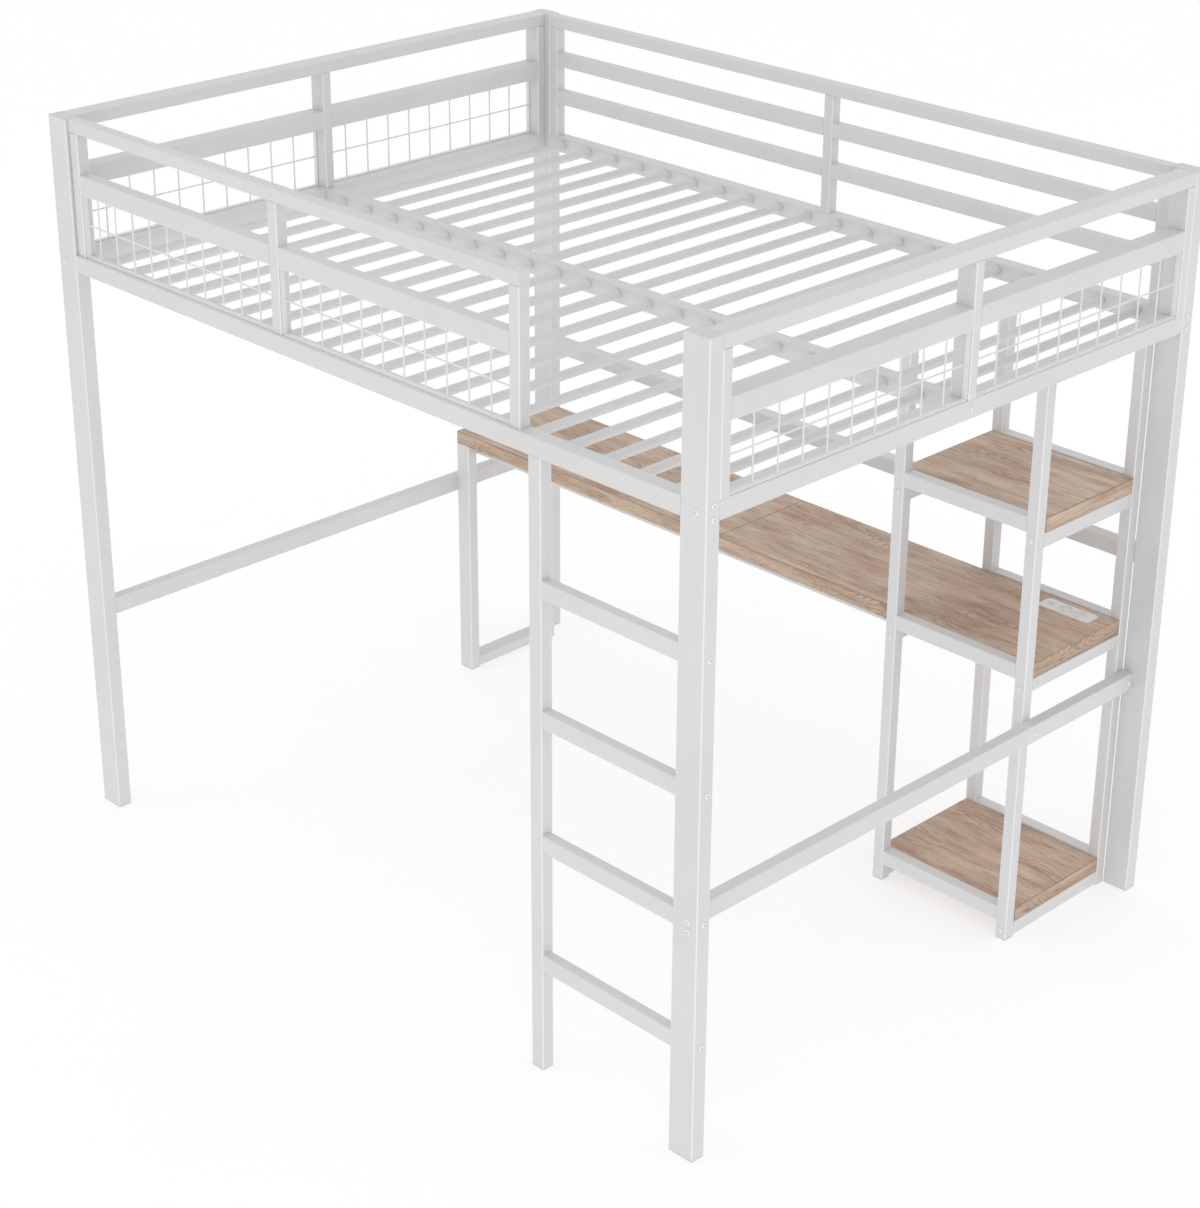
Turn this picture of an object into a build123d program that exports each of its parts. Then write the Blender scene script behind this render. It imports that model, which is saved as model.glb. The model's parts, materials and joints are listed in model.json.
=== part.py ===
from build123d import *
import os

# Loft bed with a desk and a shelf unit under it. All lengths are in millimetres.
# X runs along the bed, Y across it from the ladder side to the desk side, Z up.
# The origin is on the floor, at the middle of the bed.

# Overall size of the frame
LENGTH = 2176.0
WIDTH = 1618.0
HEIGHT = 1872.0

# Rectangular steel tube
WALL = 1.5
CORNER = 2.5

# How far a cut runs past the face it starts from
OVERCUT = 1.0

# Corner posts
POST_X = 70.0
POST_Y = 38.0
GLIDE = 5.0
GLIDE_STEM = 14.0
GLIDE_EDGE = 1.0
CAP = 1.5
CAP_STEM = 12.0

# Deck: side rails, end rails, centre beam and slats
DECK = (1492.0, 1535.0)
END_DEPTH = 50.0
BEAM_WIDTH = 35.0
SLAT_RADIUS = 11.0
SLAT_WALL = 1.2
SLAT_Z = 1516.0
SLAT_COUNT = 20
SLAT_PITCH = 101.3
SLAT_PLUG = 20.0

# Guards above the deck
TOP_RAIL = (1840.0, HEIGHT)
MID_RAIL = (1693.0, 1740.0)
REAR_BARS = ((1629.0, 1666.0), (1734.0, 1771.0))
GUARD_DEPTH = 30.5
GUARD_RECESS = 7.5
UPRIGHT = 31.0
END_UPRIGHT = 26.0
REAR_UPRIGHT = 29.0
FRONT_GUARD_END = 557.0
FRONT_UPRIGHT_X = (-1016.0, -256.0, FRONT_GUARD_END - UPRIGHT)

# Wire mesh panels of the guards
WIRE = 4.0
MESH_FRAME = 3.5
MESH_DEPTH = 12.0
MESH_INSET = 10.0
MESH_WIRE_Z = 1615.0
MESH_WIRE_BEHIND = 3.4
END_MESH_PITCH = 73.0
FRONT_MESH_PITCH = 69.0
FRONT_MESH_WIRES = 10
END_MESH_WIRES = 9

# Lower frame
LOWER_RAIL = (560.0, 605.0)
LOWER_DEPTH = 30.5
BRACE = (891.0, 931.0)
BRACKET = 6.0
BRACKET_STEM = 20.0
BRACKET_START = 5.0
BRACKET_GAP = 6.0
BRACKET_HOLD = 30.0
BRACKET_SIDE = 13.0
TONGUE_GAP = 7.0
TONGUE_HOLD = 28.0
TONGUE_REACH = 32.0
TONGUE_BOLT = 20.0
SLOT_DEPTH = 5.0

# Ladder
STILE = (587.0, 624.0)
STILE_DEPTH = 32.0
LADDER_RECESS = 1.0
RUNG_COUNT = 4
RUNG_RISE = 304.0
RUNG_FIRST_TOP = 308.0
RUNG_HEIGHT = 42.0
RUNG_DEPTH = 26.0

# Desk
DESK_TOP = 746.0
BOARD = 37.5
DESK_FRONT = 400.0
DESK_BACK = 738.0
DESK_HALF_LENGTH = 1014.0
BOARD_EDGE = 1.5
SQUARE = 31.0
LEG_WIDTH = 49.0
LEG_FRONT = 403.0
LEG_BACK = 736.0
FOOT_RAIL = (5.0, 35.0)
BEARER_FRONT = 437.0
BEARER_BACK = 700.0
DOWEL_RADIUS = 4.0
DOWEL_LENGTH = 40.0
DOWEL_Y = (470.0, 569.0, 668.0)

# Shelf unit
SHELF_LEFT = 595.0
SHELF_FRONT = 368.0
SHELF_TOP = 1488.0
SHELF_RAILS = ((48.0, 87.0), (709.0, 748.0), (1085.0, 1123.0))
SHELF_SIDE_RAILS = ((6.0, 43.0), (676.5, 708.5), (1045.0, 1082.0))
SHELF_BOARD_Z = (43.0, 1082.0)
SHELF_BOARD_GAP = 1.0

# Power outlet set in the desk top
OUTLET_X = (822.0, 972.0)
OUTLET_Y = (666.0, 718.0)
OUTLET_RISE = 2.5
OUTLET_LIP = 5.0
OUTLET_CORNER = 12.0
OUTLET_BOTTOM = 688.0
SOCKET_RADIUS = 16.5
SOCKET_X = (890.0, 931.0)
USB_X = (834.0, 858.0)
USB_Y = (683.0, 701.0)
OUTLET_EDGE = 1.2
HOUSING_GAP = 0.5
HOUSING_WALL = 2.0
SOCKET_SINK = 1.0
SOCKET_DEPTH = 16.0
BLADE_OFFSET = 6.35
BLADE_SIZE = (1.8, 7.5)
BLADE_RISE = 3.0
EARTH_DROP = 7.0
EARTH_RADIUS = 1.9
CONTACT_DEPTH = 12.0
PORT_SINK = 0.8
PORT_BODY = 14.0
PORT_OFFSET = 4.5
PORT_SIZE = (13.0, 5.0)
PORT_DEPTH = 9.0
TONGUE_SIZE = (11.0, 2.0)
TONGUE_SINK = 1.0
GLAND_RADIUS = 6.0
GLAND_LENGTH = 9.0
GLAND_FLANGE = 2.0
GLAND_WALL = 3.5

# Fasteners
BOLT_RADIUS = 3.0
BOLT_CLEARANCE = 0.3
BOLT_HEAD_RADIUS = 6.5
BOLT_HEAD = 3.6
BOLT_RIM = 0.5
BOLT_HEX = 2.3
BOLT_SOCKET = 2.2
BOLT_GRIP = 16.0
PLUG_LENGTH = 15.0
DECK_BOLT_Z = (1499.0, 1529.0)
DECK_MID_Z = 1513.5
LOWER_BOLT_Z = (570.5, 595.0)
LOWER_BOLT_LENGTH = 12.5
SHELF_BOLT_Z = (25.0, 686.0, 1068.0)
CROSS_BOLT_Z = 582.5
SCREW_RADIUS = 2.0
SCREW_HEAD_RADIUS = 4.5
SCREW_HEAD = 2.5
SCREW_BITE = 18.0
SCREW_END = 60.0
BEARER_SCREW_X = (-850.0, -450.0, -60.0, 60.0, 450.0)

# Places worked out from the sizes above
X_OUT = LENGTH / 2
Y_OUT = WIDTH / 2
X_IN = X_OUT - POST_X
Y_IN = Y_OUT - POST_Y
X_END = X_OUT - END_DEPTH
Y_GUARD = Y_OUT - GUARD_RECESS
END_BOLT_X = X_OUT - END_DEPTH / 2
POST_MID_Y = Y_OUT - POST_Y / 2
LOWER_OUT = X_IN + LOWER_DEPTH
BRACKET_OUT = Y_OUT - BRACKET_GAP
BRACKET_X = (X_IN + BRACKET_START, X_IN + BRACKET_START + BRACKET_STEM)
BRACKET_Z = (LOWER_RAIL[0] + BRACKET_GAP, LOWER_RAIL[1] - BRACKET_GAP)
TONGUE_Z = (BRACE[0] + TONGUE_GAP, BRACE[1] - TONGUE_GAP)
TONGUE_X = (X_IN - TONGUE_HOLD, X_IN + TONGUE_REACH)
DESK_UNDER = DESK_TOP - BOARD
BEARER_Z = (DESK_UNDER - SQUARE, DESK_UNDER)
LEG_X = (-X_IN, -X_IN + LEG_WIDTH)
SHELF_X = ((SHELF_LEFT, SHELF_LEFT + SQUARE), (X_IN - SQUARE, X_IN))
SHELF_Y = ((SHELF_FRONT, SHELF_FRONT + SQUARE), (Y_IN - SQUARE, Y_IN))
SHELF_INNER_X = (SHELF_X[0][1], SHELF_X[1][0])
SHELF_INNER_Y = (SHELF_Y[0][1], SHELF_Y[1][0])
SHELF_BOLT_X = [(low + high) / 2 for low, high in SHELF_X]


def mid(span):
    """Middle of a (low, high) span."""
    return (span[0] + span[1]) / 2


def both(span, side):
    """The span as it is for side 1, or mirrored through zero for side -1."""
    return span if side > 0 else (-span[1], -span[0])


def around(centre, width):
    """Span of the given width about its centre."""
    return (centre - width / 2, centre + width / 2)


def solid_bar(x, y, z, along, inset=0.0, radius=CORNER, trim=(0.0, 0.0)):
    """Bar with rounded long edges that fills the spans x, y and z and runs along one axis."""
    spans = {"X": x, "Y": y, "Z": z}
    directions = {"X": (1, 0, 0), "Y": (0, 1, 0), "Z": (0, 0, 1)}
    across = {"X": "YZ", "Y": "ZX", "Z": "XY"}[along]
    start = {name: mid(span) for name, span in spans.items()}
    start[along] = spans[along][0] + trim[0]
    plane = Plane(
        origin=(start["X"], start["Y"], start["Z"]),
        x_dir=directions[across[0]],
        z_dir=directions[along],
    )
    sizes = [spans[name][1] - spans[name][0] - 2 * inset for name in across]
    length = spans[along][1] - spans[along][0] - trim[0] - trim[1]
    return extrude(plane * RectangleRounded(sizes[0], sizes[1], radius), amount=length)


def tube(x, y, z, along, closed=(False, False), wall=WALL):
    """Hollow bar, open at both ends unless a low or high end is closed by a welded plate."""
    trim = [wall if shut else 0.0 for shut in closed]
    outer = solid_bar(x, y, z, along)
    return outer - solid_bar(x, y, z, along, wall, CORNER - wall, trim)


def block(x, y, z):
    """Plain box that fills the spans x, y and z."""
    box = Box(x[1] - x[0], y[1] - y[0], z[1] - z[0])
    return Pos(mid(x), mid(y), mid(z)) * box


def rod(point, direction, length, radius):
    """Round rod that starts at a point and runs in a direction."""
    return extrude(Plane(origin=point, z_dir=direction) * Circle(radius), amount=length)


def frame_bolt_places():
    """Face point, outward direction and shank length of each bolt of the bed frame."""
    places = []
    for side_x in (-1, 1):
        for side_y in (-1, 1):
            for height in DECK_BOLT_Z:
                face = (side_x * X_OUT, side_y * POST_MID_Y, height)
                places.append((face, (side_x, 0, 0), POST_X + BOLT_GRIP))
            face = (side_x * END_BOLT_X, side_y * Y_OUT, DECK_MID_Z)
            places.append((face, (0, side_y, 0), POST_Y + BOLT_GRIP))
            for height in LOWER_BOLT_Z:
                face = (side_x * END_BOLT_X, side_y * Y_OUT, height)
                places.append((face, (0, side_y, 0), LOWER_BOLT_LENGTH))
        places.append(((side_x * X_OUT, 0, DECK_MID_Z), (side_x, 0, 0), END_DEPTH + BOLT_GRIP))
        face = (side_x * (X_IN + TONGUE_BOLT), Y_OUT, mid(BRACE))
        places.append((face, (0, 1, 0), LOWER_BOLT_LENGTH))
    for step in range(RUNG_COUNT):
        face = (X_OUT, -POST_MID_Y, rung_span(step)[0] + RUNG_HEIGHT / 2)
        places.append((face, (1, 0, 0), POST_X + BOLT_GRIP))
    return places


def furniture_bolt_places():
    """Face point, outward direction and shank length of each bolt of the desk and the shelf unit."""
    places = []
    for height in SHELF_BOLT_Z:
        for x in SHELF_BOLT_X:
            places.append(((x, SHELF_FRONT, height), (0, -1, 0), SQUARE + BOLT_GRIP))
            places.append(((x, Y_IN, height), (0, 1, 0), SQUARE + BOLT_GRIP))
    for y in (mid(SHELF_Y[0]), mid(SHELF_Y[1])):
        places.append(((LOWER_OUT, y, CROSS_BOLT_Z), (1, 0, 0), LOWER_DEPTH + BOLT_GRIP))
    for y in (LEG_FRONT + SQUARE / 2, LEG_BACK - SQUARE / 2):
        places.append(((-LOWER_OUT, y, CROSS_BOLT_Z), (-1, 0, 0), LOWER_DEPTH + BOLT_GRIP))
    return places


def rung_span(step):
    """Bottom and top height of one rung, counted from the floor up."""
    top = RUNG_FIRST_TOP + RUNG_RISE * step
    return (top - RUNG_HEIGHT, top)


def runs_through(part, point, direction, length):
    """True where a bolt's shank meets the box around a part."""
    box = part.bounding_box()
    lows = (box.min.X, box.min.Y, box.min.Z)
    highs = (box.max.X, box.max.Y, box.max.Z)
    for axis in range(3):
        end = point[axis] - direction[axis] * length
        near = min(point[axis], end) - BOLT_RADIUS
        far = max(point[axis], end) + BOLT_RADIUS
        if far <= lows[axis] or near >= highs[axis]:
            return False
    return True


def screw_places():
    """X, Y and the two heights between which each board screw runs through its tube."""
    places = []
    for y in (BEARER_FRONT + SQUARE / 2, BEARER_BACK + SQUARE / 2):
        for x in BEARER_SCREW_X:
            places.append((x, y, BEARER_Z[0], BEARER_Z[1]))
    for x in SHELF_BOLT_X:
        for y in (SHELF_INNER_Y[0] + SCREW_END, SHELF_INNER_Y[1] - SCREW_END):
            for low, high in SHELF_SIDE_RAILS:
                places.append((x, y, low, high))
    return places


def drilled(part, clearance=BOLT_CLEARANCE):
    """Part with a hole for every bolt that runs through it."""
    for point, direction, length in frame_bolt_places() + furniture_bolt_places():
        if runs_through(part, point, direction, length):
            inward = tuple(-step for step in direction)
            part = part - rod(point, inward, length, BOLT_RADIUS + clearance)
    return part


def screwed(part):
    """Part with a hole for every board screw that runs into it or through it."""
    for x, y, low, high in screw_places():
        length = high - low + SCREW_BITE
        if runs_through(part, (x, y, low), (0, 0, -1), length):
            part = part - rod((x, y, low), (0, 0, 1), length, SCREW_RADIUS)
    return part


def bolts(places):
    """Button-head bolts with a hexagon socket, one solid each."""
    head = extrude(Circle(BOLT_HEAD_RADIUS), amount=BOLT_HEAD)
    head = fillet(head.edges().group_by(Axis.Z)[-1], BOLT_HEAD - BOLT_RIM)
    socket = Pos(0, 0, BOLT_HEAD) * extrude(RegularPolygon(BOLT_HEX, 6), amount=-BOLT_SOCKET)
    head = head - socket
    made = []
    for point, direction, length in places:
        plane = Plane(origin=point, z_dir=direction)
        shank = extrude(plane * Circle(BOLT_RADIUS), amount=-length)
        made.append(plane.location * head + shank)
    return made


def post(side_x, side_y):
    """Corner post, with slots for the brackets of the lower rail and of the rear brace."""
    x = both((X_IN, X_OUT), side_x)
    y = both((Y_IN, Y_OUT), side_y)
    part = drilled(tube(x, y, (GLIDE, HEIGHT - CAP), "Z"))
    part = part - block(both(BRACKET_X, side_x), both((Y_IN - OVERCUT, Y_IN + SLOT_DEPTH), side_y), BRACKET_Z)
    if side_y > 0:
        part = part - block(both((X_IN - OVERCUT, X_IN + SLOT_DEPTH), side_x), brace_tongue_y(), TONGUE_Z)
    return part


def brace_tongue_y():
    """Depth span of the rear brace's tongues, which stand just inside the post's rear wall."""
    return (BRACKET_OUT - BRACKET, BRACKET_OUT)


def tube_top_caps():
    """Plastic caps pushed into the tops of the corner posts and of the shelf posts."""
    places = []
    for side_x in (-1, 1):
        for side_y in (-1, 1):
            places.append((both((X_IN, X_OUT), side_x), both((Y_IN, Y_OUT), side_y), HEIGHT))
    for x in SHELF_X:
        for y in SHELF_Y:
            places.append((x, y, SHELF_TOP))
    caps = []
    for x, y, top in places:
        plate = solid_bar(x, y, (top - CAP, top), "Z")
        stem = solid_bar(x, y, (top - CAP - CAP_STEM, top - CAP), "Z", WALL, CORNER - WALL)
        caps.append(plate + stem)
    return caps


def foot_glides():
    """Plastic glides pushed into the bottoms of the posts, the ladder, the desk leg and the shelf unit."""
    feet = []
    for side_x in (-1, 1):
        for side_y in (-1, 1):
            feet.append((both((X_IN, X_OUT), side_x), both((Y_IN, Y_OUT), side_y)))
    feet.append((STILE, stile_y()))
    feet.append((LEG_X, (LEG_FRONT, LEG_FRONT + SQUARE)))
    feet.append((LEG_X, (LEG_BACK - SQUARE, LEG_BACK)))
    for x in SHELF_X:
        for y in SHELF_Y:
            feet.append((x, y))
    glides = []
    for x, y in feet:
        pad = chamfer(solid_bar(x, y, (0, GLIDE), "Z").edges().group_by(Axis.Z)[0], GLIDE_EDGE)
        stem = solid_bar(x, y, (GLIDE, GLIDE + GLIDE_STEM), "Z", WALL, CORNER - WALL)
        glides.append(pad + stem)
    return glides


def side_rail(side):
    """Deck rail between two corner posts on the front or the rear side."""
    return drilled(tube((-X_IN, X_IN), both((Y_IN, Y_OUT), side), DECK, "X"))


def end_rail(side):
    """Deck rail between the front and the rear post at one end."""
    return drilled(tube(both((X_END, X_OUT), side), (-Y_IN, Y_IN), DECK, "Y"))


def centre_beam():
    """Beam along the middle of the deck, between the two end rails."""
    return drilled(tube((-X_END, X_END), around(0, BEAM_WIDTH), DECK, "X"))


def rail_end_plugs():
    """Threaded steel plugs inside the ends of the deck rails, the centre beam and the ladder rungs."""
    plugs = []
    for side_x in (-1, 1):
        ends = both((X_IN - PLUG_LENGTH, X_IN), side_x)
        for side_y in (-1, 1):
            plugs.append((ends, both((Y_IN, Y_OUT), side_y), DECK, "X"))
            rail_end = both((Y_IN - PLUG_LENGTH, Y_IN), side_y)
            plugs.append((both((X_END, X_OUT), side_x), rail_end, DECK, "Y"))
        ends = both((X_END - PLUG_LENGTH, X_END), side_x)
        plugs.append((ends, around(0, BEAM_WIDTH), DECK, "X"))
    for step in range(RUNG_COUNT):
        plugs.append(((X_IN - PLUG_LENGTH, X_IN), rung_y(), rung_span(step), "X"))
    return [drilled(solid_bar(x, y, z, along, WALL, CORNER - WALL), 0) for x, y, z, along in plugs]


def slat_places():
    """Distance along the bed of each slat."""
    first = -SLAT_PITCH * (SLAT_COUNT - 1) / 2
    return [first + SLAT_PITCH * index for index in range(SLAT_COUNT)]


def slat_row(side):
    """Round slats between the centre beam and the front or the rear side rail."""
    start = BEAM_WIDTH / 2
    slats = []
    for x in slat_places():
        outer = rod((x, side * start, SLAT_Z), (0, side, 0), Y_IN - start, SLAT_RADIUS)
        bore = rod((x, side * start, SLAT_Z), (0, side, 0), Y_IN - start, SLAT_RADIUS - SLAT_WALL)
        slats.append(outer - bore)
    return slats


def slat_end_plugs():
    """Plastic plugs inside both ends of every slat."""
    radius = SLAT_RADIUS - SLAT_WALL
    plugs = []
    for x in slat_places():
        for side in (-1, 1):
            plugs.append(rod((x, side * BEAM_WIDTH / 2, SLAT_Z), (0, side, 0), SLAT_PLUG, radius))
            plugs.append(rod((x, side * Y_IN, SLAT_Z), (0, -side, 0), SLAT_PLUG, radius))
    return plugs


def end_top_rail(side):
    """Top rail of the guard at one end."""
    return tube(both((X_END, X_OUT), side), (-Y_IN, Y_IN), TOP_RAIL, "Y")


def guard_y(side):
    """Depth span of the front or the rear guard, set back a little from the posts' outer faces."""
    return both((Y_GUARD - GUARD_DEPTH, Y_GUARD), side)


def front_top_rail():
    """Top rail of the front guard, which stops short of the right post to leave the ladder's way in."""
    return tube((-X_IN, FRONT_GUARD_END), guard_y(-1), TOP_RAIL, "X", (False, True))


def rear_top_rail():
    """Top rail of the rear guard."""
    return tube((-X_IN, X_IN), guard_y(1), TOP_RAIL, "X")


def end_mid_rails(side):
    """Middle rails of one end guard, one each side of its centre upright."""
    x = both((X_END, X_OUT), side)
    y = (END_UPRIGHT / 2, Y_IN - END_UPRIGHT)
    return [tube(x, both(y, half), MID_RAIL, "Y") for half in (-1, 1)]


def front_bays():
    """Span along X of the clear space between neighbouring uprights of the front guard."""
    first, second, third = FRONT_UPRIGHT_X
    return ((first + UPRIGHT, second), (second + UPRIGHT, third))


def front_mid_rails():
    """Middle rails of the front guard, one in each bay."""
    return [tube(bay, guard_y(-1), MID_RAIL, "X") for bay in front_bays()]


def rear_bars():
    """Two levels of bars in the rear guard, one piece each side of the centre upright."""
    bay = (REAR_UPRIGHT / 2, X_IN - REAR_UPRIGHT)
    bars = []
    for height in REAR_BARS:
        for side in (-1, 1):
            bars.append(tube(both(bay, side), guard_y(1), height, "X"))
    return bars


def end_uprights(side):
    """Three uprights of one end guard, standing on the end rail."""
    x = both((X_END, X_OUT), side)
    places = (
        around(0, END_UPRIGHT),
        (Y_IN - END_UPRIGHT, Y_IN),
        (-Y_IN, -Y_IN + END_UPRIGHT),
    )
    return [tube(x, y, (DECK[1], TOP_RAIL[0]), "Z") for y in places]


def front_uprights():
    """Three uprights of the front guard, standing on the front side rail."""
    height = (DECK[1], TOP_RAIL[0])
    return [tube((x, x + UPRIGHT), guard_y(-1), height, "Z") for x in FRONT_UPRIGHT_X]


def rear_uprights():
    """Three uprights of the rear guard, standing on the rear side rail."""
    height = (DECK[1], TOP_RAIL[0])
    places = (
        around(0, REAR_UPRIGHT),
        (X_IN - REAR_UPRIGHT, X_IN),
        (-X_IN, -X_IN + REAR_UPRIGHT),
    )
    return [tube(x, guard_y(1), height, "Z") for x in places]


def mesh_panel(length, pitch, wires):
    """Wire panel about the origin in the XZ plane: flat-bar frame, upright wires and one level wire."""
    low = DECK[1]
    high = MID_RAIL[0]
    half = length / 2
    depth = around(0, MESH_DEPTH)
    panel = block((-half, half), depth, (low, high))
    hollow = (half - MESH_FRAME, low + MESH_FRAME, high - MESH_FRAME)
    panel = panel - block((-hollow[0], hollow[0]), around(0, 2 * MESH_DEPTH), hollow[1:])
    for index in range(wires):
        x = (index - (wires - 1) / 2) * pitch
        wire = rod((x, 0, hollow[1]), (0, 0, 1), hollow[2] - hollow[1], WIRE / 2)
        panel = panel + wire
    level = rod((-hollow[0], MESH_WIRE_BEHIND, MESH_WIRE_Z), (1, 0, 0), 2 * hollow[0], WIRE / 2)
    return panel + level


def end_mesh_panels(side):
    """Mesh panels in both bays of one end guard, below its middle rails."""
    bay = (END_UPRIGHT / 2, Y_IN - END_UPRIGHT)
    panels = []
    for half in (-1, 1):
        panel = mesh_panel(bay[1] - bay[0], END_MESH_PITCH, END_MESH_WIRES)
        place = Pos(side * (X_OUT - MESH_INSET), half * mid(bay), 0)
        panels.append(place * Rot(0, 0, 90 * side) * panel)
    return panels


def front_mesh_panels():
    """Mesh panels in both bays of the front guard, below its middle rails."""
    panels = []
    for bay in front_bays():
        panel = mesh_panel(bay[1] - bay[0], FRONT_MESH_PITCH, FRONT_MESH_WIRES)
        panels.append(Pos(mid(bay), -Y_GUARD + MESH_INSET, 0) * panel)
    return panels


def lower_rail(side):
    """Rail low between the front and the rear post at one end."""
    return drilled(tube(both((X_IN, LOWER_OUT), side), (-Y_IN, Y_IN), LOWER_RAIL, "Y"))


def rail_brackets():
    """Steel brackets that reach through slots into the posts, where short bolts hold them."""
    brackets = []
    plate_y = (BRACKET_OUT - BRACKET, BRACKET_OUT)
    for side_x in (-1, 1):
        for side_y in (-1, 1):
            stem = block(both(BRACKET_X, side_x), both((Y_IN - BRACKET_HOLD, BRACKET_OUT), side_y), BRACKET_Z)
            reach = both((BRACKET_X[0], END_BOLT_X + BRACKET_SIDE), side_x)
            plate = block(reach, both(plate_y, side_y), BRACKET_Z)
            brackets.append(drilled(stem + plate, 0))
        brackets.append(drilled(block(both(TONGUE_X, side_x), plate_y, TONGUE_Z), 0))
    return brackets


def rear_brace_rail():
    """Rail between the two rear posts, behind the desk and the shelf unit."""
    return drilled(tube((-X_IN, X_IN), (Y_IN, Y_OUT), BRACE, "X"))


def stile_y():
    """Depth span of the ladder's stile."""
    front = -Y_OUT + LADDER_RECESS
    return (front, front + STILE_DEPTH)


def rung_y():
    """Depth span of the ladder's rungs, flush with the front of the stile."""
    front = -Y_OUT + LADDER_RECESS
    return (front, front + RUNG_DEPTH)


def ladder_stile():
    """Upright on the left of the ladder, from the floor to the front side rail."""
    return tube(STILE, stile_y(), (GLIDE, DECK[0]), "Z")


def ladder_rungs():
    """Rungs between the stile and the front right post."""
    rungs = []
    for step in range(RUNG_COUNT):
        rungs.append(drilled(tube((STILE[1], X_IN), rung_y(), rung_span(step), "X")))
    return rungs


def soft_edges(board):
    """Board with its long and short edges eased."""
    return chamfer(board.edges(), BOARD_EDGE)


def desk_board(side):
    """Left or right half of the desk top, bored for the dowels between the two."""
    x = both((0, DESK_HALF_LENGTH), side)
    board = screwed(soft_edges(block(x, (DESK_FRONT, DESK_BACK), (DESK_UNDER, DESK_TOP))))
    for y in DOWEL_Y:
        board = board - rod((0, y, DESK_TOP - BOARD / 2), (side, 0, 0), DOWEL_LENGTH / 2, DOWEL_RADIUS)
    if side > 0:
        cut_x = (OUTLET_X[0] + OUTLET_LIP, OUTLET_X[1] - OUTLET_LIP)
        cut_y = (OUTLET_Y[0] + OUTLET_LIP, OUTLET_Y[1] - OUTLET_LIP)
        board = board - block(cut_x, cut_y, (DESK_UNDER - OVERCUT, DESK_TOP + OVERCUT))
    return board


def desk_board_dowels():
    """Wooden dowels that line up the two halves of the desk top."""
    start = -DOWEL_LENGTH / 2
    return [rod((start, y, DESK_TOP - BOARD / 2), (1, 0, 0), DOWEL_LENGTH, DOWEL_RADIUS) for y in DOWEL_Y]


def desk_bearer(low_y):
    """Tube under the desk top, from the leg frame to the side of the shelf unit."""
    return screwed(tube((LEG_X[1], SHELF_LEFT), (low_y, low_y + SQUARE), BEARER_Z, "X"))


def desk_leg(low_y):
    """Leg at the left end of the desk."""
    return drilled(tube(LEG_X, (low_y, low_y + SQUARE), (GLIDE, DESK_UNDER), "Z"))


def desk_leg_cross_tubes():
    """Tubes that join the two legs, one near the floor and one under the desk top."""
    y = (LEG_FRONT + SQUARE, LEG_BACK - SQUARE)
    return [tube(LEG_X, y, height, "Y") for height in (FOOT_RAIL, BEARER_Z)]


def shelf_posts(row):
    """Two posts at the front or the rear of the shelf unit."""
    height = (GLIDE, SHELF_TOP - CAP)
    return [drilled(tube(x, SHELF_Y[row], height, "Z")) for x in SHELF_X]


def shelf_rails(row):
    """Three rails between the front or the rear posts of the shelf unit."""
    return [tube(SHELF_INNER_X, SHELF_Y[row], height, "X") for height in SHELF_RAILS]


def shelf_side_rails():
    """Rails from front to rear on both sides of the shelf unit, under the boards."""
    rails = []
    for x in SHELF_X:
        for height in SHELF_SIDE_RAILS:
            rails.append(screwed(tube(x, SHELF_INNER_Y, height, "Y")))
    return rails


def shelf_side_plugs():
    """Threaded steel plugs inside the ends of the shelf unit's side rails."""
    front, back = SHELF_INNER_Y
    plugs = []
    for x in SHELF_X:
        for z in SHELF_SIDE_RAILS:
            for y in ((front, front + PLUG_LENGTH), (back - PLUG_LENGTH, back)):
                plugs.append(drilled(solid_bar(x, y, z, "Y", WALL, CORNER - WALL), 0))
    return plugs


def shelf_board(low_z):
    """Loose board that lies on two side rails of the shelf unit."""
    x = (SHELF_X[0][0], SHELF_X[1][1])
    y = (SHELF_INNER_Y[0] + SHELF_BOARD_GAP, SHELF_INNER_Y[1] - SHELF_BOARD_GAP)
    return screwed(soft_edges(block(x, y, (low_z, low_z + BOARD))))


def outlet_plan(inset):
    """Spans along X and Y of the outlet plate, drawn in all round."""
    x = (OUTLET_X[0] + inset, OUTLET_X[1] - inset)
    y = (OUTLET_Y[0] + inset, OUTLET_Y[1] - inset)
    return x, y


def outlet_housing():
    """Closed box of the power outlet, hung in the cut-out of the desk top."""
    x, y = outlet_plan(OUTLET_LIP + HOUSING_GAP)
    shell = block(x, y, (OUTLET_BOTTOM, DESK_TOP))
    wall = HOUSING_WALL
    inner = block((x[0] + wall, x[1] - wall), (y[0] + wall, y[1] - wall), (OUTLET_BOTTOM + wall, DESK_TOP))
    hole = rod((mid(USB_X), mid(OUTLET_Y), OUTLET_BOTTOM), (0, 0, 1), wall, GLAND_RADIUS - wall)
    return shell - inner - hole


def outlet_face():
    """Rounded face plate of the power outlet, with two round wells and a window for the charging ports."""
    x, y = outlet_plan(0)
    plate = solid_bar(x, y, (DESK_TOP, DESK_TOP + OUTLET_RISE), "Z", 0, OUTLET_CORNER)
    plate = fillet(plate.edges().group_by(Axis.Z)[-1], OUTLET_EDGE)
    for socket_x in SOCKET_X:
        plate = plate - rod((socket_x, mid(OUTLET_Y), DESK_TOP), (0, 0, 1), OUTLET_RISE, SOCKET_RADIUS)
    return plate - block(USB_X, USB_Y, (DESK_TOP, DESK_TOP + OUTLET_RISE))


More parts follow.
